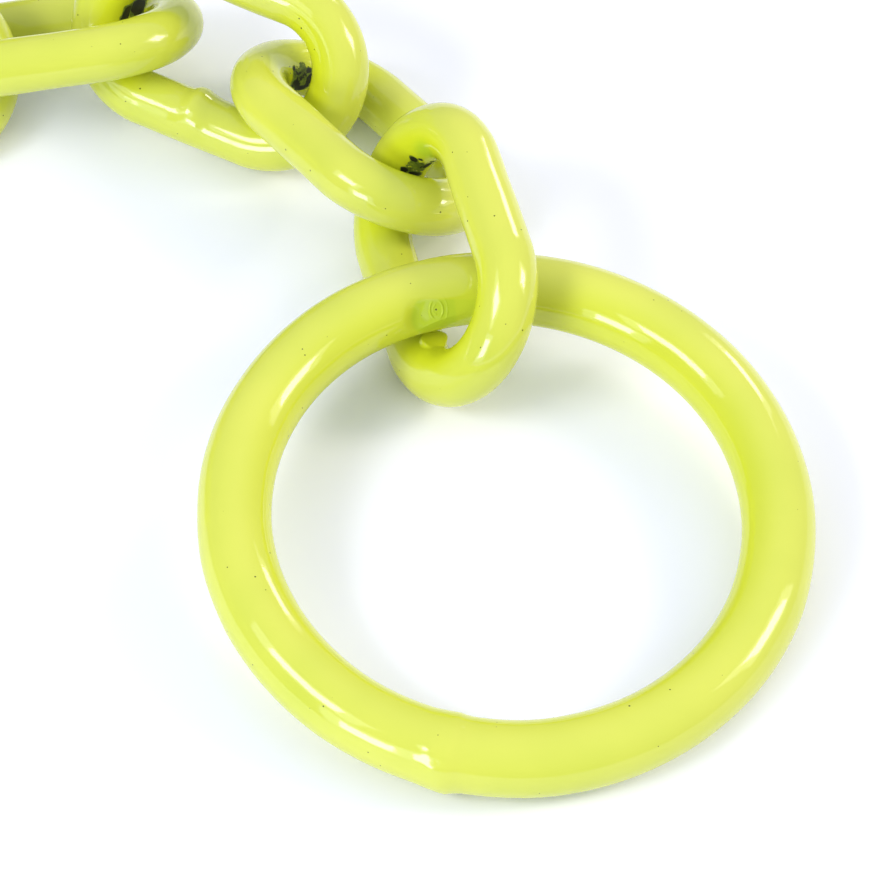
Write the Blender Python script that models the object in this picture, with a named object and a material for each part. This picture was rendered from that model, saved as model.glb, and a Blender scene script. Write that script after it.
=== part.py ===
"""A metre of welded short-link iron chain with a big welded ring on its end, dropped in a loose heap.

Lengths are in metres, angles in degrees. The ring lies in front, tilted against the first link.
The chain runs back from it and to the left, and then piles up in loops that cross over each other.
"""

import math

import bpy
import numpy as np

# Chain: round wire bent to an oval, with straight limbs between two half-round bows
WIRE_RADIUS = 0.005
LINK_WIDTH = 0.02635  # from the centre of one limb to the centre of the other
LINK_LENGTH = 0.04575  # from the centre of one bow to the centre of the other
LINK_COUNT = 28

# Ring: the welded end ring, of thicker wire
RING_RADIUS = 0.04335  # to the centre of its wire
RING_WIRE_RADIUS = 0.006
RING_TILT_BACK = 6.2  # the far side rises onto the first link
RING_TILT_SIDE = 2.8  # the left side rises a little
RING_WELD_ANGLE = 257.7  # seen from above, from +X
RING_WELD_SPREAD = 7.5
RING_WELD_SWELL = 1.06

# How finely the round shapes are drawn
BOW_STEPS = 10
RING_STEPS = 48
WIRE_SIDES = 10
FLAT_TILT = -5.7  # turns the flats of the link wire, so that link_09 lies squarely on one
LINE_POINTS = 96  # along a link's centre line, when distances are measured

# How the pieces lie: pieces that touch keep this much air
TOUCH_GAP = 0.0003
FLOOR_SLACK = 0.00003  # and none goes deeper than this into the floor
FIRST_STEP = 0.0005  # where two links touch is found in steps of this size,
LAST_STEP = 0.0000003  # and then by halving them down to this one
FIRST_LINK_REACH = 0.0508  # from the ring's centre to the first link's, seen from above
# Each link that lies straight behind the ring: heading, lean to its side, rise of its nose,
# the direction in which it is pulled tight in the link before, and how far it is held off the floor
PULLED_LINKS = (
    {"heading": 105.0, "lean": -57.0, "nose": 4.5, "pull": 101.5, "lift": 0.0},
    {"heading": 127.7, "lean": 28.2, "nose": -3.9, "pull": 114.4, "lift": 0.0009},
    {"heading": 155.7, "lean": -50.9, "nose": 5.2, "pull": 147.9, "lift": 0.0018},
    {"heading": 184.2, "lean": 29.9, "nose": -6.9, "pull": 167.5, "lift": 0.0},
    {"heading": 200.7, "lean": -40.0, "nose": 8.1, "pull": 199.8, "lift": 0.0},
)
# The loops of the pile: how many links, and how far each one turns from the link before
PILE_TURNS = ((1, -8.0), (1, -14.0), (1, -24.0), (10, -42.0), (4, -10.0), (6, -34.0))
PILE_LEAN = 45.0  # links lean this far to one side and to the other in turn
LEAN_PER_TURN = 0.35  # a bend in the chain changes the lean by this share of it
RISE_PER_LINK = 0.009  # how steeply a strand climbs to cross another
SETTLE_ROUNDS = 30
SETTLE_SHARE = 0.5  # a strand goes up by this share of what it still lacks, and by the next
SETTLE_EXTRA = 0.0001
STEEPEST_NOSE = 40.0
NOSE_STEP = 0.5  # the last link's free end is let down by this much at a time

ENAMEL_COLOR = (0.80, 0.86, 0.10, 1.0)
ENAMEL_ROUGHNESS = 0.18

HALF_LIMB = (LINK_LENGTH - LINK_WIDTH) / 2
BOW_RADIUS = LINK_WIDTH / 2


def wire_oval(points_per_bow, points_per_limb):
    """The centre line of a link in its own plane, one limb at +Y and one at -Y."""
    line = []
    for side in (1, -1):
        for i in range(points_per_limb):
            along = -HALF_LIMB + 2 * HALF_LIMB * i / points_per_limb
            line.append((side * along, side * BOW_RADIUS, 0.0))
        for i in range(points_per_bow):
            angle = math.pi * i / points_per_bow
            x = HALF_LIMB + BOW_RADIUS * math.sin(angle)
            line.append((side * x, side * BOW_RADIUS * math.cos(angle), 0.0))
    return np.array(line)


def axes_of(heading, nose, lean):
    """A link's own axes as the columns of a matrix: along it, across it, and square to its plane."""
    h, n, l = (math.radians(angle) for angle in (heading, nose, lean))
    swing = np.array([[math.cos(h), -math.sin(h), 0], [math.sin(h), math.cos(h), 0], [0, 0, 1]])
    rise = np.array([[math.cos(n), 0, -math.sin(n)], [0, 1, 0], [math.sin(n), 0, math.cos(n)]])
    roll = np.array([[1, 0, 0], [0, math.cos(l), -math.sin(l)], [0, math.sin(l), math.cos(l)]])
    return swing @ rise @ roll


MEASURED_OVAL = wire_oval(LINE_POINTS // 3, LINE_POINTS // 6)


class Link:
    """Where one link lies."""

    def __init__(self, centre, heading, nose, lean):
        self.centre = np.array(centre)
        self.heading = heading
        self.nose = nose
        self.lean = lean
        self.axes = axes_of(heading, nose, lean)
        self.line = MEASURED_OVAL @ self.axes.T + self.centre

    def lowest(self):
        return self.line[:, 2].min() - reach_down(self.lean)


def reach_down(lean):
    """How far the flat-sided wire of a leaning link reaches below the centre line of its lower limb."""
    half_flat = 180 / WIRE_SIDES
    down = abs(lean) - 90
    off_flat = (down - FLAT_TILT) % (2 * half_flat) - half_flat
    return WIRE_RADIUS * math.cos(math.radians(half_flat - abs(off_flat)))


def air_between(line, other_line, other_radius=WIRE_RADIUS):
    """The gap between a link's wire and another wire, from their centre lines."""
    apart = line[:, None] - other_line[None]
    return math.sqrt((apart**2).sum(axis=2).min()) - WIRE_RADIUS - other_radius


def on_floor(x, y, heading, nose, lean, lift=0.0):
    """A link at this place in plan, resting on the floor or held a little above it."""
    link = Link((x, y, 0.0), heading, nose, lean)
    return Link((x, y, lift - link.lowest()), heading, nose, lean)


def pulled_tight(before, heading, lean, nose, pull, lift):
    """A link drawn away from the one before, along the floor, until the two touch."""
    toward = (math.cos(math.radians(pull)), math.sin(math.radians(pull)))

    def at(distance):
        x = before.centre[0] + toward[0] * distance
        y = before.centre[1] + toward[1] * distance
        return on_floor(x, y, heading, nose, lean, lift)

    near = LINK_LENGTH
    while air_between(at(near).line, before.line) < TOUCH_GAP and near > LINK_WIDTH:
        near -= FIRST_STEP
    far = near + FIRST_STEP
    while far - near > LAST_STEP:
        middle = (near + far) / 2
        if air_between(at(middle).line, before.line) >= TOUCH_GAP:
            near = middle
        else:
            far = middle
    return at(near)


def hooked(before, heading, nose, lean):
    """A link hung in the bow of the one before, crown against crown."""
    axes = axes_of(heading, nose, lean)
    crowns = np.cross(before.axes[:, 2], axes[:, 2])
    crowns /= np.linalg.norm(crowns)
    if crowns @ axes[:, 0] < 0:
        crowns = -crowns
    reach = LINK_WIDTH - 2 * WIRE_RADIUS - TOUCH_GAP
    centre = before.centre + HALF_LIMB * before.axes[:, 0] + reach * crowns + HALF_LIMB * axes[:, 0]
    return Link(centre, heading, nose, lean)


def hooked_at_height(before, heading, lean, height):
    """A hooked link whose nose rises or falls as much as brings its centre to this height."""
    low, high = -STEEPEST_NOSE, STEEPEST_NOSE
    while high - low > TOUCH_GAP:
        nose = (low + high) / 2
        link = hooked(before, heading, nose, lean)
        if link.centre[2] < height:
            low = nose
        else:
            high = nose
    return link


def turns_of_pile():
    """How far each link of the pile turns from the link before it."""
    turns = []
    for links, turn in PILE_TURNS:
        turns += [turn] * links
    return turns[: LINK_COUNT - len(PULLED_LINKS)]


def lay_chain(lifts):
    """Every link from the ring to the free end, each held as far off the floor as lifts says."""
    pull = math.radians(PULLED_LINKS[0]["pull"])
    x, y = FIRST_LINK_REACH * math.cos(pull), FIRST_LINK_REACH * math.sin(pull)
    first = PULLED_LINKS[0]
    chain = [on_floor(x, y, first["heading"], first["nose"], first["lean"])]
    for lie in PULLED_LINKS[1:]:
        chain.append(pulled_tight(chain[-1], **lie))
    turns = turns_of_pile()
    for i, turn in enumerate(turns):
        next_turn = turns[min(i + 1, len(turns) - 1)]
        side = 1 if len(chain) % 2 else -1
        lean = side * PILE_LEAN - LEAN_PER_TURN * (turn + next_turn) / 2
        heading = chain[-1].heading + turn
        height = BOW_RADIUS * abs(math.sin(math.radians(lean))) + reach_down(lean) + lifts[len(chain)]
        link = hooked_at_height(chain[-1], heading, lean, height)
        while link.lowest() < -FLOOR_SLACK:
            height -= link.lowest()
            link = hooked_at_height(chain[-1], heading, lean, height)
        chain.append(link)
    return chain


def links_below(chain, k):
    """Earlier links that link k could lie on, without the one it hangs in."""
    within = LINK_LENGTH + 2 * WIRE_RADIUS
    return [
        other
        for other in chain[: k - 1]
        if np.linalg.norm(chain[k].centre[:2] - other.centre[:2]) < within
    ]


def rise_to_clear(link, others):
    """How far straight up the link has to go to clear all the others."""
    step = TOUCH_GAP
    up = 0.0
    while min(air_between(link.line + (0, 0, up), other.line) for other in others) < TOUCH_GAP:
        up += step
    return up


def climbing(needed):
    """Lifts that reach what is needed and climb and fall gently on either side of it."""
    count = len(needed)
    slopes = [
        max(needed[j] - RISE_PER_LINK * abs(j - k) for j in range(count)) for k in range(count)
    ]
    slopes = [max(slope, 0.0) for slope in slopes]
    padded = slopes[:1] + slopes + slopes[-1:]
    return [max(needed[k], sum(padded[k : k + 3]) / 3) for k in range(count)]


def settled_chain():
    """The chain with every strand that crosses another lifted just clear of it."""
    straight = len(PULLED_LINKS)
    needed = [0.0] * LINK_COUNT
    lifts = [0.0] * LINK_COUNT
    for _ in range(SETTLE_ROUNDS):
        chain = lay_chain(lifts)
        clear = True
        for k in range(straight + 1, LINK_COUNT):
            others = links_below(chain, k)
            up = rise_to_clear(chain[k], others) if others else 0.0
            if up > 0:
                needed[k] = max(needed[k], lifts[k] + up * SETTLE_SHARE + SETTLE_EXTRA)
                clear = False
        if clear:
            break
        lifts = climbing(needed)
        lifts[:straight] = [0.0] * straight
    chain[-1] = dropped_end(chain)
    return chain


def dropped_end(chain):
    """The last link with its free end let down until it lies on the floor or on another link."""
    last = chain[-1]
    others = links_below(chain, LINK_COUNT - 1)
    while last.nose > -STEEPEST_NOSE:
        lower = hooked(chain[-2], last.heading, last.nose - NOSE_STEP, last.lean)
        if lower.lowest() < 0 or rise_to_clear(lower, others) > 0:
            break
        last = lower
    return last


def enamel(name):
    """Thick glossy lime-yellow enamel over the iron."""
    material = bpy.data.materials.new(name)
    material.use_nodes = True
    shader = material.node_tree.nodes["Principled BSDF"]
    shader.inputs["Base Color"].default_value = ENAMEL_COLOR
    shader.inputs["Roughness"].default_value = ENAMEL_ROUGHNESS
    shader.inputs["Metallic"].default_value = 0.0
    return material


def link_wire():
    """Round wire along the oval: a closed curve with a bevel, shared by every link."""
    wire = bpy.data.curves.new("link_wire", "CURVE")
    wire.dimensions = "3D"
    wire.bevel_depth = WIRE_RADIUS
    wire.bevel_resolution = (WIRE_SIDES - 4) // 2
    places = wire_oval(BOW_STEPS, 1)
    spline = wire.splines.new("POLY")
    spline.points.add(len(places) - 1)
    for point, place in zip(spline.points, places):
        point.co = (*place, 1.0)
        point.tilt = math.radians(FLAT_TILT)
    spline.use_cyclic_u = True
    wire.materials.append(enamel("link_enamel"))
    return wire


def swell_at_weld(mesh):
    """Make the ring a little fuller where it is welded shut."""
    for vertex in mesh.vertices:
        angle = math.degrees(math.atan2(vertex.co.y, vertex.co.x)) % 360
        if abs(angle - RING_WELD_ANGLE) > RING_WELD_SPREAD:
            continue
        away = math.hypot(vertex.co.x, vertex.co.y)
        grown = RING_RADIUS + (away - RING_RADIUS) * RING_WELD_SWELL
        vertex.co.x *= grown / away
        vertex.co.y *= grown / away
        vertex.co.z *= RING_WELD_SWELL


def add_ring(collection, base):
    """The end ring, lying on the floor at its lowest side and tilted up at the back."""
    bpy.ops.mesh.primitive_torus_add(
        major_segments=RING_STEPS,
        minor_segments=WIRE_SIDES,
        major_radius=RING_RADIUS,
        minor_radius=RING_WIRE_RADIUS,
    )
    ring = bpy.context.object
    ring.name = "end_ring"
    swell_at_weld(ring.data)
    ring.data.shade_smooth()
    ring.data.materials.append(enamel("ring_enamel"))
    for home in list(ring.users_collection):
        home.objects.unlink(ring)
    collection.objects.link(ring)
    ring.parent = base
    ring.rotation_euler = (math.radians(RING_TILT_BACK), math.radians(RING_TILT_SIDE), 0)
    low, _ = box_of([ring])
    ring.location.z = -low[2]
    return ring


def add_link(name, link, wire, collection, base):
    """One link, placed and turned as it lies."""
    item = bpy.data.objects.new(name, wire)
    item.location = link.centre
    item.rotation_euler = [math.radians(angle) for angle in (link.lean, -link.nose, link.heading)]
    item.parent = base
    collection.objects.link(item)
    return item


def box_of(items):
    """The lowest and highest corner of these objects in the world."""
    bpy.context.view_layer.update()
    graph = bpy.context.evaluated_depsgraph_get()
    corners = []
    for item in items:
        evaluated = item.evaluated_get(graph)
        mesh = evaluated.to_mesh()
        corners += [evaluated.matrix_world @ vertex.co for vertex in mesh.vertices]
        evaluated.to_mesh_clear()
    corners = np.array(corners)
    return corners.min(axis=0), corners.max(axis=0)


def build():
    """The ring and the links, all carried by one empty that brings the heap over the origin."""
    for item in list(bpy.data.objects):
        bpy.data.objects.remove(item)
    collection = bpy.data.collections.new("heap_of_iron_chain")
    bpy.context.scene.collection.children.link(collection)
    base = bpy.data.objects.new("heap_base", None)
    collection.objects.link(base)

    pieces = [add_ring(collection, base)]
    wire = link_wire()
    for number, link in enumerate(settled_chain(), 1):
        pieces.append(add_link(f"link_{number:02d}", link, wire, collection, base))

    # The origin is on the floor, under the middle of the heap
    low, high = box_of(pieces)
    base.location = (-(low[0] + high[0]) / 2, -(low[1] + high[1]) / 2, -low[2])


build()
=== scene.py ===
import math

import bpy
import numpy as np
from mathutils import Matrix, Vector


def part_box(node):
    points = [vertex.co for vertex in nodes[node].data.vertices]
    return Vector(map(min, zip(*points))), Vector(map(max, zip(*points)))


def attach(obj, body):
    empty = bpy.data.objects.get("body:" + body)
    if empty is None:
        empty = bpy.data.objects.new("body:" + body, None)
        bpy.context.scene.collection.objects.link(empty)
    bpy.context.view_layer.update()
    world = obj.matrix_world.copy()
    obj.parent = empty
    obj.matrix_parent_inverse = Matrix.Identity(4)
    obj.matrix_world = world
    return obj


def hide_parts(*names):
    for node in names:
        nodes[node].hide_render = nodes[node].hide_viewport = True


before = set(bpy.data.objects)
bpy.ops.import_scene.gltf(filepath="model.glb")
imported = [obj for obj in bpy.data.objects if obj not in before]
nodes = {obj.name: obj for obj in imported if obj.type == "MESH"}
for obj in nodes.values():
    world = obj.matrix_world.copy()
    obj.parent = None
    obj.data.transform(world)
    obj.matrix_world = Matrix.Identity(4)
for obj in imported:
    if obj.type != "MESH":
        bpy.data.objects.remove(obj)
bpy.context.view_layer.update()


# Small helpers


def hexToLinear(code):
    # an sRGB hex colour as the linear numbers that Blender wants
    parts = [int(code[i : i + 2], 16) / 255 for i in (0, 2, 4)]
    return [c / 12.92 if c < 0.04045 else ((c + 0.055) / 1.055) ** 2.4 for c in parts] + [1.0]


def addNode(material, kind, links=None, **settings):
    # adds a node, sets its properties and input values, and links its inputs
    node = material.node_tree.nodes.new(kind)
    for name, value in settings.items():
        setattr(node, name, value)
    for key, source in (links or {}).items():
        socket = node.inputs[key]
        if isinstance(source, bpy.types.NodeSocket):
            material.node_tree.links.new(source, socket)
        else:
            socket.default_value = source
    return node


def deselectAll():
    bpy.ops.object.select_all(action="DESELECT")


def useOnly(piece):
    # the piece alone is selected and active
    deselectAll()
    piece.select_set(True)
    bpy.context.view_layer.objects.active = piece


def selectVertices(piece, test):
    # in edit mode: selects the vertices whose place passes the test
    bpy.ops.mesh.select_mode(type="VERT")
    bpy.ops.mesh.select_all(action="DESELECT")
    bpy.ops.object.mode_set(mode="OBJECT")
    for vertex in piece.data.vertices:
        vertex.select = bool(test(vertex.co))
    bpy.ops.object.mode_set(mode="EDIT")


def applyModifiers(piece):
    useOnly(piece)
    for modifier in list(piece.modifiers):
        bpy.ops.object.modifier_apply(modifier=modifier.name)


def vertexPlaces(mesh):
    # the places of all vertices, one row for each
    flat = np.empty(len(mesh.vertices) * 3)
    mesh.vertices.foreach_get("co", flat)
    return flat.reshape(-1, 3)


def vertexNormals(mesh):
    flat = np.empty(len(mesh.vertices) * 3)
    mesh.vertices.foreach_get("normal", flat)
    return flat.reshape(-1, 3)


def bulge(piece, weights, height):
    # lifts the skin along its normals by height times the weight of each vertex
    group = piece.vertex_groups.new(name="bulge")
    for index in np.nonzero(weights > 0.002)[0]:
        group.add([int(index)], float(min(weights[index], 1.0)), "REPLACE")
    push = piece.modifiers.new("bulge", "DISPLACE")
    push.mid_level = 0.0
    push.strength = height
    push.vertex_group = group.name
    applyModifiers(piece)
    piece.vertex_groups.clear()


def refine(piece, spot, reach, cuts):
    # finer faces round a small detail
    useOnly(piece)
    bpy.ops.object.mode_set(mode="EDIT")
    selectVertices(piece, lambda co: (co - Vector(spot)).length < reach)
    bpy.ops.mesh.subdivide(number_cuts=cuts, smoothness=1.0)
    bpy.ops.mesh.select_all(action="DESELECT")
    bpy.ops.object.mode_set(mode="OBJECT")


def smoothStep(values, low, high):
    # 0 up to low, 1 from high on, and a soft slope between them
    t = np.clip((values - low) / (high - low), 0, 1)
    return t * t * (3 - 2 * t)


def liftToPlane(piece, spot, normal, height, radius, edge):
    # raises a round patch of the skin to one flat face, or cuts it down if height is negative
    spot, normal = np.array(spot), np.array(normal)
    away = vertexPlaces(piece.data) - spot
    level = away @ normal
    sideways = np.linalg.norm(away - level[:, None] * normal, axis=1)
    facing = vertexNormals(piece.data) @ normal
    lift = (height - level) / np.maximum(facing, 0.3)
    lift = np.maximum(lift, 0) if height > 0 else np.minimum(lift, 0)
    lift *= (1 - smoothStep(sideways, radius - edge, radius)) * (facing > 0.2)
    furthest = np.abs(lift).max()
    bulge(piece, np.abs(lift) / furthest, math.copysign(furthest, height))


def unevenCoat(piece, swellSize, height):
    # enamel never flows out quite even: soft swells in its thickness
    clouds = bpy.data.textures.new("coatSwells", "CLOUDS")
    clouds.noise_scale = swellSize
    clouds.noise_depth = 1
    push = piece.modifiers.new("coat", "DISPLACE")
    push.texture = clouds
    push.texture_coords = "LOCAL"
    push.mid_level = 0.7  # so that the skin is pressed in more than it is lifted
    push.strength = height
    applyModifiers(piece)


def layOnFloor(piece):
    # what would reach under the floor is pressed flat on it
    useOnly(piece)
    bpy.ops.object.mode_set(mode="EDIT")
    selectVertices(piece, lambda co: co.z < 0)
    bpy.ops.transform.resize(value=(1, 1, 0), center_override=(0, 0, 0))
    bpy.ops.mesh.select_all(action="DESELECT")
    bpy.ops.object.mode_set(mode="OBJECT")


# Materials


enamel = {
    "litColor": "D0D351",  # lime yellow, as most of the coat reads
    "greenColor": "C6CD49",  # a little greener, in faint patches
    "paintedShadeColor": "A9C634",  # painted shade: darker and greener, beside the first link's chip and on the ring's flattened place
    "insideShadeColor": "CDD31C",  # painted shade: a richer, more saturated lime inside the bows and the ring
    "roughness": 0.07,
    "ior": 1.53,
    "patchSize": 0.030,  # m, size of the faint colour patches
    "peelSize": 0.0032,  # m, from crest to crest of the orange peel
    "peelHeight": 0.000096,  # m, more than the real one, so that it shows
    "pinholeSpacing": 0.0022,  # m, between the places where there may be one
    "pinholeSize": 0.00017,  # m, radius of the largest
    "pinholeDepth": 0.00012,
    "pinholeColor": "505413",
    "chipGrain": 0.0014,  # m, size of the jags on a chip's edge
    "chipDepth": 0.0003,
    "mottleSize": 1 / 1100,  # m, size of the stains in a chip
    "darkStain": "4A5A12",
    "paleStain": "7F9120",
    "ironColor": "12150A",
    "ironRoughness": 0.62,
}


def glossyEnamel(name, chipped):
    # Baked glossy enamel, dipped or sprayed thick over iron: a deep even colour, a clear wet gloss,
    # faint orange peel, pinholes with dirt in them, and on the links chips down to black iron.
    material = bpy.data.materials.new(name)
    material.use_nodes = True
    shader = material.node_tree.nodes["Principled BSDF"]
    link = material.node_tree.links.new
    place = addNode(material, "ShaderNodeTexCoord").outputs["Object"]

    patches = addNode(
        material, "ShaderNodeTexNoise",
        {"Vector": place, "Scale": 1 / enamel["patchSize"], "Detail": 3.0, "Roughness": 0.5},
    ).outputs["Fac"]
    patchMask = addNode(
        material, "ShaderNodeMapRange",
        {"Value": patches, "From Min": 0.42, "From Max": 0.68},
    ).outputs["Result"]
    tone = addNode(
        material, "ShaderNodeMix",
        {0: patchMask, 6: hexToLinear(enamel["litColor"]), 7: hexToLinear(enamel["greenColor"])},
        data_type="RGBA",
    ).outputs[2]

    # painted shade: a richer, more saturated lime inside the bows and the ring
    paintedInsideShade = addNode(material, "ShaderNodeAttribute", attribute_name="paintedInsideShade").outputs["Fac"]
    tone = addNode(
        material, "ShaderNodeMix",
        {0: paintedInsideShade, 6: tone, 7: hexToLinear(enamel["insideShadeColor"])},
        data_type="RGBA",
    ).outputs[2]
    # painted shade: darker and greener in two shaded places
    paintedShade = addNode(material, "ShaderNodeAttribute", attribute_name="paintedShade").outputs["Fac"]
    tone = addNode(
        material, "ShaderNodeMix",
        {0: paintedShade, 6: tone, 7: hexToLinear(enamel["paintedShadeColor"])},
        data_type="RGBA",
    ).outputs[2]

    # pinholes: a dark speck in some of the cells, none in most
    cells = addNode(
        material, "ShaderNodeTexVoronoi",
        {"Vector": place, "Scale": 1 / enamel["pinholeSpacing"], "Randomness": 1.0},
    )
    speckDistance = cells.outputs["Distance"]
    speckChoice = addNode(
        material, "ShaderNodeSeparateColor", {"Color": cells.outputs["Color"]}
    ).outputs["Red"]
    speckSize = addNode(
        material, "ShaderNodeMapRange",
        {
            "Value": speckChoice, "From Min": 0.30, "From Max": 1.0,
            "To Min": 0.0, "To Max": enamel["pinholeSize"] / enamel["pinholeSpacing"],
        },
    ).outputs["Result"]
    scattered = addNode(
        material, "ShaderNodeMath", {0: speckDistance, 1: speckSize}, operation="LESS_THAN"
    ).outputs[0]
    pitted = addNode(material, "ShaderNodeAttribute", attribute_name="pit").outputs["Fac"]
    speck = addNode(
        material, "ShaderNodeMath", {0: scattered, 1: pitted}, operation="MAXIMUM"
    ).outputs[0]
    specked = addNode(
        material, "ShaderNodeMix",
        {0: speck, 6: tone, 7: hexToLinear(enamel["pinholeColor"])},
        data_type="RGBA",
    ).outputs[2]

    # orange peel
    peel = addNode(
        material, "ShaderNodeTexNoise",
        {"Vector": place, "Scale": 1 / enamel["peelSize"], "Detail": 1.0, "Roughness": 0.4},
    ).outputs["Fac"]
    peelBump = addNode(
        material, "ShaderNodeBump",
        {"Height": peel, "Strength": 0.35, "Distance": enamel["peelHeight"]},
    ).outputs["Normal"]
    pitBump = addNode(
        material, "ShaderNodeBump",
        {
            "Height": speck, "Strength": 0.6,
            "Distance": enamel["pinholeDepth"], "Normal": peelBump,
        },
        invert=True,
    ).outputs["Normal"]

    shader.inputs["Roughness"].default_value = enamel["roughness"]
    shader.inputs["IOR"].default_value = enamel["ior"]
    shader.inputs["Metallic"].default_value = 0.0
    if not chipped:
        link(specked, shader.inputs["Base Color"])
        link(pitBump, shader.inputs["Normal"])
        return material

    # chips: the rubbed places are marked on the mesh, and noise breaks their edges up
    rubbed = addNode(material, "ShaderNodeAttribute", attribute_name="rub").outputs["Fac"]
    grain = addNode(
        material, "ShaderNodeTexNoise",
        {"Vector": place, "Scale": 1 / enamel["chipGrain"], "Detail": 4.0, "Roughness": 0.65},
    ).outputs["Fac"]
    jags = addNode(
        material, "ShaderNodeMapRange",
        {"Value": grain, "From Min": 0.25, "From Max": 0.75, "To Min": -0.32, "To Max": 0.32},
    ).outputs["Result"]
    worn = addNode(material, "ShaderNodeMath", {0: rubbed, 1: jags}, operation="ADD").outputs[0]
    chip = addNode(
        material, "ShaderNodeMapRange", {"Value": worn, "From Min": 0.46, "From Max": 0.50}
    ).outputs["Result"]
    bare = addNode(
        material, "ShaderNodeMapRange", {"Value": worn, "From Min": 0.70, "From Max": 0.78}
    ).outputs["Result"]
    # a stained residue of enamel stays on in a chip, and black iron shows where that is gone too
    mottles = addNode(
        material, "ShaderNodeTexNoise",
        {"Vector": place, "Scale": 1 / enamel["mottleSize"], "Detail": 5.0, "Roughness": 0.65},
    ).outputs["Fac"]
    stain = addNode(
        material, "ShaderNodeMapRange", {"Value": mottles, "From Min": 0.36, "From Max": 0.64}
    ).outputs["Result"]
    residue = addNode(
        material, "ShaderNodeMix",
        {0: stain, 6: hexToLinear(enamel["darkStain"]), 7: hexToLinear(enamel["paleStain"])},
        data_type="RGBA",
    ).outputs[2]
    iron = addNode(
        material, "ShaderNodeMix",
        {0: bare, 6: residue, 7: hexToLinear(enamel["ironColor"])},
        data_type="RGBA",
    ).outputs[2]
    color = addNode(
        material, "ShaderNodeMix", {0: chip, 6: specked, 7: iron}, data_type="RGBA"
    ).outputs[2]
    roughness = addNode(
        material, "ShaderNodeMapRange",
        {"Value": chip, "To Min": enamel["roughness"], "To Max": enamel["ironRoughness"]},
    ).outputs["Result"]
    chipBump = addNode(
        material, "ShaderNodeBump",
        {"Height": chip, "Strength": 0.8, "Distance": enamel["chipDepth"], "Normal": pitBump},
        invert=True,
    ).outputs["Normal"]
    link(color, shader.inputs["Base Color"])
    link(roughness, shader.inputs["Roughness"])
    link(chipBump, shader.inputs["Normal"])
    return material


ringEnamel = glossyEnamel("limeEnamelOnRing", chipped=False)
linkEnamel = glossyEnamel("limeEnamelOnLinks", chipped=True)
print("materials made")


# The links


linkShape = {
    "wireRadius": 0.005,
    "width": 0.02635,  # between the centres of the two limbs
    "length": 0.04575,  # between the centres of the two bows
    "bowSteps": 96,
    "wireSteps": 40,
    "limbCuts": 14,
    "weldSwell": 0.00045,  # m, how far the weld stands out of the limb
    "coatSwell": 0.00028,  # m, the most that the coat's thickness varies
    "swellSize": 0.011,
    "insideShadeAmount": 0.85,  # how strongly shade is painted inside the bows
}
bowRadius = linkShape["width"] / 2
halfLimb = (linkShape["length"] - linkShape["width"]) / 2


def modelLink():
    # a torus is parted at its middle and its halves drawn apart, so that limbs join two bows
    deselectAll()
    bpy.ops.mesh.primitive_torus_add(
        major_radius=bowRadius,
        minor_radius=linkShape["wireRadius"],
        major_segments=linkShape["bowSteps"],
        minor_segments=linkShape["wireSteps"],
    )
    piece = bpy.context.object
    sliver = bowRadius * 0.004
    bpy.ops.object.mode_set(mode="EDIT")
    for side in (-1, 1):
        bpy.ops.mesh.select_all(action="SELECT")
        bpy.ops.mesh.bisect(plane_co=(side * sliver, 0, 0), plane_no=(1, 0, 0))
    for side in (-1, 1):
        selectVertices(piece, lambda co: co.x * side > sliver / 2)
        bpy.ops.transform.translate(value=(side * (halfLimb - sliver), 0, 0))
    # each limb now has a plain ring in its middle and long faces to both sides: cut those up
    bpy.ops.mesh.select_mode(type="EDGE")
    bpy.ops.mesh.select_all(action="DESELECT")
    bpy.ops.object.mode_set(mode="OBJECT")
    places = [vertex.co.copy() for vertex in piece.data.vertices]
    for edge in piece.data.edges:
        a, b = (places[i] for i in edge.vertices)
        edge.select = abs(a.x - b.x) > halfLimb * 0.8
    bpy.ops.object.mode_set(mode="EDIT")
    bpy.ops.mesh.subdivide(number_cuts=linkShape["limbCuts"])
    bpy.ops.mesh.select_all(action="SELECT")
    bpy.ops.mesh.normals_make_consistent(inside=False)
    bpy.ops.object.mode_set(mode="OBJECT")
    bpy.ops.object.shade_smooth()
    print("link model:", len(piece.data.vertices), "vertices")
    return piece


def linkPlace(name, nextName, backwards):
    # where a CAD link lies: its middle, and its axes along it, across it and square to its plane
    node = nodes[name]
    corners = np.unique(np.round([node.matrix_world @ v.co for v in node.data.vertices], 6), axis=0)
    middle = corners.mean(axis=0)
    _, vectors = np.linalg.eigh(np.cov((corners - middle).T))
    square, along = vectors[:, 0], vectors[:, 2]
    low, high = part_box(nextName)
    onward = (np.array(low) + np.array(high)) / 2 - middle
    if (along @ onward) * (-1 if backwards else 1) < 0:
        along = -along
    if square[2] < 0:
        square = -square
    across = np.cross(square, along)
    place = Matrix.Identity(4)
    for i in range(3):
        place[i][0], place[i][1], place[i][2] = along[i], across[i], square[i]
        place[i][3] = middle[i]
    return place


def wireCoordinates(places):
    # for points on a link: their x, their y, and the angle around the wire, which is 0 on the
    # link's outer side and a quarter turn on the side of +Z
    x, y, z = places.T
    overshoot = np.maximum(np.abs(x) - halfLimb, 0)
    return x, y, np.arctan2(z, np.hypot(overshoot, y) - bowRadius)


def wrapped(angle):
    # an angle in radians, brought between minus and plus half a turn
    return np.angle(np.exp(1j * angle))


def weldLump(places, lump):
    # one lump of the weld's flash on a limb: it has a steep end and a gently sloping one
    x, y, outward = wireCoordinates(places)
    off = (x - lump["at"]) / lump["halfLength"]
    off = np.where(off * lump["steepSide"] > 0, off * 1.8, off)
    turned = np.degrees(wrapped(outward - math.radians(lump["section"]))) / lump["halfTurn"]
    return np.exp(-(off**2) * 1.2 - turned**2) * (np.sign(y) == lump["side"])


def rubMarks(places, spots):
    # how rubbed the skin is round each of these spots
    marks = np.zeros(len(places))
    for spot in spots:
        away = np.linalg.norm((places - spot["at"]) / spot["reach"], axis=1)
        marks = np.maximum(marks, spot["wear"] * (1 - smoothStep(away, 0.35, 1.3)))
    return marks


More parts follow.
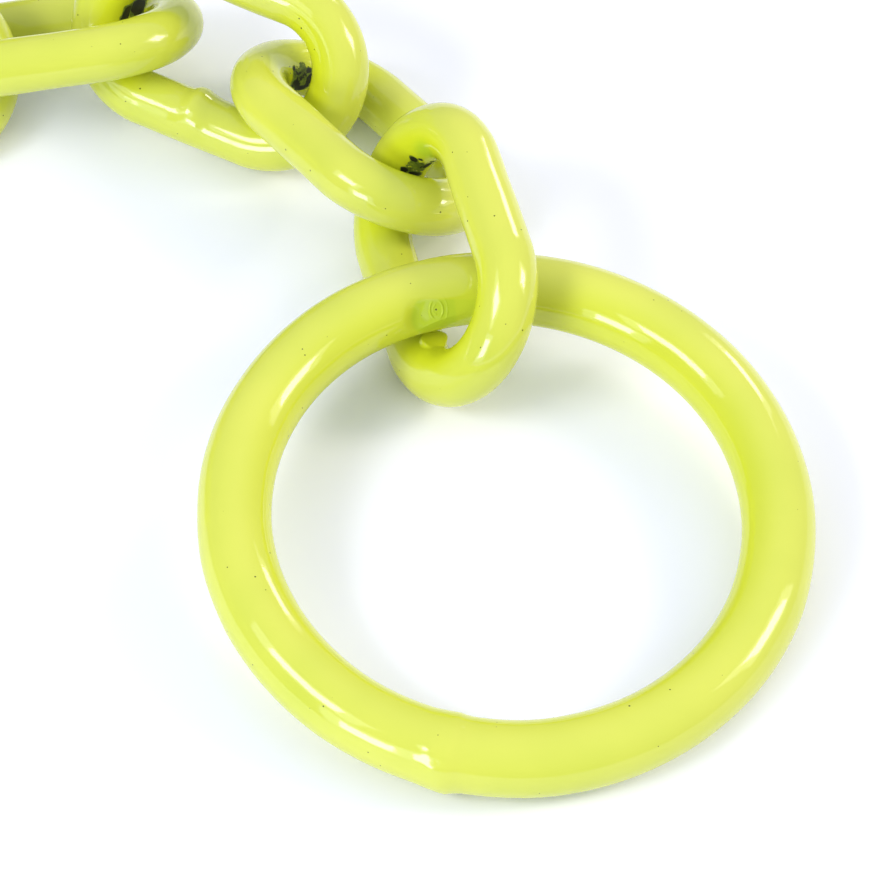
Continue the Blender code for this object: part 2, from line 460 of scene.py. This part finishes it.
def crownSpots(i):
    # the inner side of each bow's crown, where a neighbour rubs, never quite in the same place
    crown = halfLimb + bowRadius - linkShape["wireRadius"]
    wide, bare = (0.0026, 0.0028, 0.0022), (0.0010, 0.0013, 0.0009)
    spots = []
    for side in (1, -1):
        across = 0.0014 * math.sin(i * 2.3 + side)
        square = 0.0012 * math.cos(i * 1.7 - side)
        spots.append({"at": (side * crown, across, square), "reach": wide, "wear": 0.50})
        spots.append({"at": (side * crown, -across, square), "reach": bare, "wear": 0.80})
    return spots


# the flash of the welds, where the photo shows it: its place along the limb, and in degrees its
# angle round the wire
weldLumps = {
    "link_03": [
        {"side": 1, "at": 0.0002, "halfLength": 0.0026, "section": 152, "halfTurn": 62,
         "steepSide": 1, "height": 0.0011},
        {"side": 1, "at": -0.0016, "halfLength": 0.0014, "section": 96, "halfTurn": 26,
         "steepSide": 1, "height": 0.00022},
        {"side": 1, "at": 0.0018, "halfLength": 0.0012, "section": 84, "halfTurn": 24,
         "steepSide": -1, "height": 0.00022},
    ],
}

# chips in the enamel where the photo shows them: a wide patch with a residue, and in it spots of
# bare iron, each with its place on the link and its reach along, across and square to it
chips = {
    "link_01": [
        {"at": (0.0179, -0.0009, 0.0007), "reach": (0.0024, 0.0028, 0.0026), "wear": 0.64},
        {"at": (0.0180, -0.0025, 0.0021), "reach": (0.0010, 0.0008, 0.0013), "wear": 1.0},
        {"at": (0.0183, 0.0006, 0.0020), "reach": (0.0010, 0.0008, 0.0010), "wear": 1.0},
        {"at": (0.0179, 0.0006, -0.0003), "reach": (0.0010, 0.0008, 0.0020), "wear": 1.0},
        {"at": (0.0176, -0.0021, -0.0009), "reach": (0.0009, 0.0015, 0.0008), "wear": 0.95},
        {"at": (0.0169, -0.0039, -0.0005), "reach": (0.0008, 0.0011, 0.0006), "wear": 0.90},
        {"at": (0.0174, -0.0033, 0.0015), "reach": (0.0005, 0.0005, 0.0006), "wear": 0.95},
    ],
    "link_02": [
        {"at": (0.0180, 0.0009, 0.0006), "reach": (0.0032, 0.0034, 0.0034), "wear": 0.78},
        {"at": (0.0183, 0.0029, 0.0026), "reach": (0.0008, 0.0007, 0.0007), "wear": 0.95},
        {"at": (0.0183, -0.0010, 0.0020), "reach": (0.0009, 0.0009, 0.0009), "wear": 0.95},
        {"at": (0.0178, -0.0013, 0.0002), "reach": (0.0010, 0.0009, 0.0022), "wear": 1.0},
        {"at": (0.0180, -0.0002, -0.0014), "reach": (0.0012, 0.0018, 0.0010), "wear": 1.0},
    ],
    "link_03": [
        {"at": (0.0180, 0.0006, 0.0001), "reach": (0.0028, 0.0034, 0.0028), "wear": 0.78},
        {"at": (0.0180, 0.0004, -0.0001), "reach": (0.0016, 0.0023, 0.0023), "wear": 1.25},
    ],
    "link_04": [
        {"at": (-0.0159, -0.0062, 0.0023), "reach": (0.0034, 0.0032, 0.0030), "wear": 0.74},
        {"at": (-0.0160, -0.0061, 0.0024), "reach": (0.0026, 0.0021, 0.0022), "wear": 1.25},
    ],
}

# painted shade on the first link: darker and greener beside its chip, where it lies in shade
paintedShadePlaces = {
    "link_01": [{"at": (0.0161, -0.0062, 0.0031), "reach": (0.0026, 0.0032, 0.0024), "wear": 0.60}],
}

# a stub of weld flash inside the first link's near bow, with a flat end and a pit in it
stub = {
    "at": (-0.0131, 0.0074, 0.0012),
    "facing": (0.10, -0.94, 0.32),
    "height": 0.0007,
    "radius": 0.0024,
    "edge": 0.0005,
    "pitAt": (-0.0118, 0.0079, 0.0016),
    "pitRadius": 0.00026,
}


def addStub(piece):
    # raises the stub on the wire's inner side, and gives back the place of its pit
    x, y = stub["at"][:2]
    overshoot = math.copysign(max(abs(x) - halfLimb, 0), x)
    turn = math.atan2(y, overshoot)
    bowMiddle = math.copysign(halfLimb, x)
    wireMiddle = Vector((bowMiddle + bowRadius * math.cos(turn), bowRadius * math.sin(turn), 0))
    normal = (Vector(stub["at"]) - wireMiddle).normalized()
    spot = wireMiddle + normal * linkShape["wireRadius"]
    refine(piece, spot, stub["radius"] * 1.8, 3)
    facing = Vector(stub["facing"]).normalized()
    liftToPlane(piece, spot, facing, stub["height"], stub["radius"], stub["edge"])
    pit = Vector(stub["pitAt"]) - wireMiddle
    return spot + (pit - normal * pit.dot(normal)) + normal * stub["height"]


def setAttribute(piece, name, values):
    attribute = piece.data.attributes.new(name, "FLOAT", "POINT")
    attribute.data.foreach_set("value", values)


def insideShadeAmount(places):
    # how much shade is painted inside a link: most on the inner side of the bows
    x, _, outward = wireCoordinates(places)
    inside = smoothStep(-np.cos(outward), -0.35, 0.45)
    return inside * smoothStep(np.abs(x), halfLimb * 0.8, halfLimb + 0.004)


def hiddenWeld(i):
    # the other welds lie on the far or lower limbs, and stand out less
    return {
        "side": 1 if i == 0 else -1,
        "at": 0.0015 * math.sin(i * 4.1),
        "halfLength": 0.0024,
        "section": 40 * math.sin(i * 1.3) - 60,
        "halfTurn": 80,
        "steepSide": 1 if i % 2 else -1,
        "height": linkShape["weldSwell"],
    }


linkModel = modelLink()
linkNames = sorted(name for name in nodes if name.startswith("link_"))
for i, name in enumerate(linkNames):
    isLast = i == len(linkNames) - 1
    place = linkPlace(name, linkNames[i - 1] if isLast else linkNames[i + 1], isLast)
    piece = linkModel.copy()
    piece.data = linkModel.data.copy()
    piece.name = piece.data.name = "enamelled_" + name
    bpy.context.scene.collection.objects.link(piece)
    for lump in weldLumps.get(name, [hiddenWeld(i)]):
        bulge(piece, weldLump(vertexPlaces(piece.data), lump), lump["height"])
    if name == "link_01":
        pit = addStub(piece)
    for spot in chips.get(name, []):
        refine(piece, spot["at"], max(spot["reach"]) * 1.1, 1)
    pits = np.zeros(len(piece.data.vertices))
    if name == "link_01":
        pits = np.linalg.norm(vertexPlaces(piece.data) - pit, axis=1) < stub["pitRadius"]
    places = vertexPlaces(piece.data)
    setAttribute(piece, "pit", pits.astype(float))
    setAttribute(piece, "rub", rubMarks(places, chips.get(name, crownSpots(i))))
    # painted shade: darker and greener where it is listed
    setAttribute(piece, "paintedShade", rubMarks(places, paintedShadePlaces.get(name, [])))
    # painted shade: a richer lime on the inner side of the bows
    setAttribute(piece, "paintedInsideShade", linkShape["insideShadeAmount"] * insideShadeAmount(places))
    piece.data.transform(place)
    piece.matrix_world = Matrix.Identity(4)
    unevenCoat(piece, linkShape["swellSize"], linkShape["coatSwell"])
    layOnFloor(piece)
    piece.data.materials.clear()
    piece.data.materials.append(linkEnamel)
    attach(piece, "root")
    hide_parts(name)
bpy.data.objects.remove(linkModel)
print("links placed:", len(linkNames))


# The end ring


ringShape = {
    "radius": 0.04335,  # to the centre of its wire
    "wireRadius": 0.006,
    "steps": 288,
    "wireSteps": 56,
    "weldAngle": 257.7,  # degrees, seen from above, from +X
    # degrees from there: the weld's left end, its seam, where it drops off, and its right end
    "weldBounds": (-5.1, 0.2, 0.8, 3.5),
    "weldSwell": 0.00062,
    "coatSwell": 0.00025,
    "swellSize": 0.016,
    "insideShadeAmount": 0.50,  # how strongly shade is painted inside the ring
}

# two small beads that the weld's flash left under the enamel
weldBeads = [
    {"angle": 254.6, "section": 57, "length": 0.0011, "width": 0.0013, "height": 0.00016},
    {"angle": 255.9, "section": 34, "length": 0.0011, "width": 0.0009, "height": 0.00022},
]


def ringPlace():
    # where the CAD ring lies: its middle, its axis, and an X axis square to that and to world Y
    node = nodes["end_ring"]
    corners = np.unique(np.round([node.matrix_world @ v.co for v in node.data.vertices], 6), axis=0)
    low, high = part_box("end_ring")
    middle = (np.array(low) + np.array(high)) / 2
    _, vectors = np.linalg.eigh(np.cov((corners - middle).T))
    square = vectors[:, 0] * (1 if vectors[2, 0] > 0 else -1)
    along = np.cross((0.0, 1.0, 0.0), square)
    along /= np.linalg.norm(along)
    across = np.cross(square, along)
    place = Matrix.Identity(4)
    for i in range(3):
        place[i][0], place[i][1], place[i][2] = along[i], across[i], square[i]
        place[i][3] = middle[i]
    return place


def ringSpot(angle, section):
    # a place on the ring's skin, and the way it faces there
    turn, tilt = math.radians(angle), math.radians(section)
    level = math.cos(tilt)
    normal = Vector((level * math.cos(turn), level * math.sin(turn), math.sin(tilt)))
    wireMiddle = Vector((math.cos(turn), math.sin(turn), 0)) * ringShape["radius"]
    return wireMiddle + normal * ringShape["wireRadius"], normal


def modelRing():
    deselectAll()
    bpy.ops.mesh.primitive_torus_add(
        major_radius=ringShape["radius"],
        minor_radius=ringShape["wireRadius"],
        major_segments=ringShape["steps"],
        minor_segments=ringShape["wireSteps"],
    )
    piece = bpy.context.object
    piece.name = piece.data.name = "enamelled_end_ring"
    places = vertexPlaces(piece.data)
    x, y, z = places.T
    angle = np.degrees(np.arctan2(y, x)) % 360
    section = np.arctan2(z, np.hypot(x, y) - ringShape["radius"])
    # the weld slopes up evenly from the left to its seam, and drops off more steeply on its right
    start, seam, drop, end = (ringShape["weldAngle"] + off for off in ringShape["weldBounds"])
    swell = np.clip((angle - start) / (seam - start), 0, 1) * (1 - smoothStep(angle, drop, end))
    outside = 0.30 + 0.70 * (0.5 + 0.5 * np.cos(section - 0.35))
    bulge(piece, swell * outside, ringShape["weldSwell"])
    for bead in weldBeads:
        spot, normal = ringSpot(bead["angle"], bead["section"])
        refine(piece, spot, bead["length"] * 2, 2)
        away = vertexPlaces(piece.data) - np.array(spot)
        turn = math.radians(bead["angle"])
        along = away @ np.array((-math.sin(turn), math.cos(turn), 0)) / bead["length"]
        across = away @ np.cross(normal, (-math.sin(turn), math.cos(turn), 0)) / bead["width"]
        bulge(piece, np.exp(-(along**2) - across**2), bead["height"])
    return piece


# a flattened place beside the first link, with an oval blister in the enamel and a pit in that
flatPlace = {
    "angle": 107.6,
    "section": 150,
    "lean": 0.08,  # it is cut deeper towards its left end
    "depth": 0.00040,
    "radius": 0.0060,
    "edge": 0.0038,
}
blister = {
    "halfLength": 0.0011,
    "halfWidth": 0.0017,
    "height": 0.00011,
    "pitRadius": 0.00017,
    # its ridges, in shares of its size: how far out each lies, how thick it is, and how high
    "rim": (1.0, 0.13, 1.0),
    "innerRidge": (0.5, 0.12, 0.3),
    "outerRidge": (1.7, 0.13, 0.3),
}
# painted shade: darker and greener there, where the first link shades the ring, up to a level line
# above and a curved one on the left, and less so past a straight line on the right: m to the right
# and upwards from the blister's middle
flatTint = {
    "strength": 0.50,
    "left": -0.0047,
    "leftCurve": 130,  # 1/m
    "leftMiddle": -0.0009,
    "edge": (0.0028, 0.0035),
    "right": (0.0065, 0.0090),
    "top": 0.0016,
    "topFall": 0.19,
    "bottom": (-0.0056, -0.0030),
}


def ridge(out, name):
    # how high one of the blister's ridges stands, so far out from its middle
    middle, thickness, height = blister[name]
    return height * np.exp(-(((out - middle) / thickness) ** 2))


def addFlatPlace(piece):
    spot, normal = ringSpot(flatPlace["angle"], flatPlace["section"])
    turn = math.radians(flatPlace["angle"])
    along = Vector((-math.sin(turn), math.cos(turn), 0))
    normal = (normal + along * flatPlace["lean"]).normalized()
    refine(piece, spot, flatPlace["radius"] * 1.1, 3)
    liftToPlane(piece, spot, normal, -flatPlace["depth"], flatPlace["radius"], flatPlace["edge"])
    refine(piece, spot, blister["halfWidth"] * 1.8, 2)
    across = np.cross(normal, along)
    away = vertexPlaces(piece.data) - np.array(spot)
    right, rise = -(away @ along), -(away @ across)
    near = np.abs(away @ normal) < 0.002
    out = np.hypot(right / blister["halfLength"], rise / blister["halfWidth"])
    sideways = np.abs(right) / np.maximum(np.hypot(right, rise), 0.0001)
    waves = ridge(out, "rim") * smoothStep(sideways, 0.15, 0.75)
    waves += ridge(out, "innerRidge") * (right < 0)
    waves += ridge(out, "outerRidge") * smoothStep(right, 0.0006, 0.0018)
    bulge(piece, waves * near, blister["height"])
    places = vertexPlaces(piece.data) - np.array(spot)
    pits = (np.hypot(places @ along, places @ across) < blister["pitRadius"]) & near
    setAttribute(piece, "pit", pits.astype(float))
    # painted shade: darker and greener on the flattened place, where the first link shades the ring
    left = flatTint["left"] + flatTint["leftCurve"] * (rise - flatTint["leftMiddle"]) ** 2
    paintedShade = smoothStep(right, left - 0.0002, left + 0.0009)
    paintedShade *= 1 - 0.5 * smoothStep(right, *flatTint["edge"])
    paintedShade *= 1 - smoothStep(right, *flatTint["right"])
    top = flatTint["top"] - flatTint["topFall"] * right
    paintedShade *= (1 - smoothStep(rise - top, 0.0, 0.0005)) * smoothStep(rise, *flatTint["bottom"])
    setAttribute(piece, "paintedShade", flatTint["strength"] * paintedShade * near)
    # painted shade: a richer lime on the ring's inner side
    x, y, _ = vertexPlaces(piece.data).T
    inward = (ringShape["radius"] - np.hypot(x, y)) / ringShape["wireRadius"]
    setAttribute(piece, "paintedInsideShade", ringShape["insideShadeAmount"] * smoothStep(inward, 0.0, 0.8))


ring = modelRing()
addFlatPlace(ring)
useOnly(ring)
bpy.ops.object.shade_smooth()
ring.data.transform(ringPlace())
unevenCoat(ring, ringShape["swellSize"], ringShape["coatSwell"])
layOnFloor(ring)
ring.data.materials.clear()
ring.data.materials.append(ringEnamel)
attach(ring, "root")
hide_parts("end_ring")
print("ring placed")


# Floor, lights and camera


studio = {
    "floorSize": 12,  # m
    "floorColor": "F5F5FF",
    "floorRoughness": 0.75,
    "floorSheen": 0.2,
    "roomColor": "ECF3FF",
    # how bright the room is on average, and how much more to the right, straight ahead and overhead
    "roomLight": 0.425,
    "roomSlope": (0.265, 0.20, 0.565),
    "lightDistance": 1.3,  # m, from what the camera looks at
    # the cloth round a softbox's bright middle: how much larger it is, its share of the radiance,
    # and how far behind the middle it hangs
    "clothSize": 1.7,
    "clothShare": 0.16,
    "clothGap": 0.02,
    # m, from the ring's middle to what the camera looks at on the floor inside the ring
    "aimRight": -0.0107,
    "aimBeyond": 0.0234,
    "cameraElevation": 52.02,  # degrees
    "cameraDistance": 0.5545,  # m
    # mm, on a sensor 36 mm wide: the photo is 880 pixels wide, and its focal length is 3341.4
    "cameraLens": 36 * 3341.4 / 880,
}


def addFloor():
    deselectAll()
    bpy.ops.mesh.primitive_plane_add(size=studio["floorSize"])
    floor = bpy.context.object
    floor.name = "studio_floor"
    # matte white paper: hardly any gloss, and a faint blue cast
    material = bpy.data.materials.new("whitePaperSweep")
    material.use_nodes = True
    shader = material.node_tree.nodes["Principled BSDF"]
    shader.inputs["Base Color"].default_value = hexToLinear(studio["floorColor"])
    shader.inputs["Roughness"].default_value = studio["floorRoughness"]
    shader.inputs["Specular IOR Level"].default_value = studio["floorSheen"]
    floor.data.materials.append(material)


ringLow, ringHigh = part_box("end_ring")
ringMiddle = (Vector(ringLow) + Vector(ringHigh)) / 2
aim = Vector((ringMiddle.x + studio["aimRight"], ringMiddle.y + studio["aimBeyond"], 0.0))

# softboxes round the table, in degrees: azimuth from straight ahead to the right, elevation, and
# how wide and tall the bright middle is as seen from aim; and that middle's radiance
softboxes = {
    "boxRight": {
        "azimuth": 91, "elevation": 33.5, "wide": 13.5, "tall": 15.5,
        "radiance": 14.9, "color": "FFF6E8",
    },
    "boxFarRight": {
        "azimuth": 37.5, "elevation": 28.5, "wide": 7.5, "tall": 11,
        "radiance": 11.4, "color": "FFF6EC",
    },
    "boxLeft": {
        "azimuth": -119.5, "elevation": 44, "wide": 20.5, "tall": 13,
        "radiance": 12.8, "color": "FAFCFF",
    },
    "boxNearLeft": {
        "azimuth": -144, "elevation": 15.5, "wide": 16, "tall": 16,
        "radiance": 13.3, "color": "E8F4FF",
    },
}


def addSoftbox(name, box, size, share, distance):
    # a lamp that faces aim, with this much of the softbox's angular size and radiance
    azimuth, elevation = math.radians(box["azimuth"]), math.radians(box["elevation"])
    level = math.cos(elevation)
    away = Vector((math.sin(azimuth) * level, math.cos(azimuth) * level, math.sin(elevation)))
    width = 2 * distance * math.tan(math.radians(box["wide"] * size / 2))
    height = 2 * distance * math.tan(math.radians(box["tall"] * size / 2))
    light = bpy.data.lights.new(name, "AREA")
    light.shape = "RECTANGLE"
    light.size, light.size_y = width, height
    light.energy = box["radiance"] * share * math.pi * width * height
    light.color = hexToLinear(box["color"])[:3]
    lamp = bpy.data.objects.new(name, light)
    lamp.location = aim + away * distance
    lamp.rotation_euler = (-away).to_track_quat("-Z", "Y").to_euler()
    bpy.context.scene.collection.objects.link(lamp)


def addWorld():
    world = bpy.data.worlds.new("studioWorld")
    world.use_nodes = True
    background = world.node_tree.nodes["Background"]
    background.inputs["Color"].default_value = hexToLinear(studio["roomColor"])
    direction = addNode(world, "ShaderNodeTexCoord").outputs["Generated"]
    rise = addNode(
        world, "ShaderNodeVectorMath",
        {0: direction, 1: studio["roomSlope"]},
        operation="DOT_PRODUCT",
    ).outputs["Value"]
    total = addNode(
        world, "ShaderNodeMath", {0: rise, 1: studio["roomLight"]}, operation="ADD"
    ).outputs[0]
    brightness = addNode(
        world, "ShaderNodeMath", {0: total, 1: 0.0}, operation="MAXIMUM"
    ).outputs[0]
    world.node_tree.links.new(brightness, background.inputs["Strength"])
    bpy.context.scene.world = world


def addCamera():
    elevation = math.radians(studio["cameraElevation"])
    camera = bpy.data.cameras.new("camera")
    camera.sensor_width = 36
    camera.lens = studio["cameraLens"]
    camera.clip_start, camera.clip_end = 0.05, 20
    holder = bpy.data.objects.new("camera", camera)
    back = Vector((0, -math.cos(elevation), math.sin(elevation)))
    holder.location = aim + back * studio["cameraDistance"]
    holder.rotation_euler = (math.pi / 2 - elevation, 0, 0)
    bpy.context.scene.collection.objects.link(holder)
    bpy.context.scene.camera = holder


addFloor()
clothShare, lightDistance = studio["clothShare"], studio["lightDistance"]
for name, box in softboxes.items():
    addSoftbox(name + "Middle", box, 1.0, 1.0 - clothShare, lightDistance)
    clothDistance = lightDistance + studio["clothGap"]
    addSoftbox(name + "Cloth", box, studio["clothSize"], clothShare, clothDistance)
addWorld()
addCamera()
bpy.context.scene.view_settings.view_transform = "Standard"
print("floor, lights and camera placed")
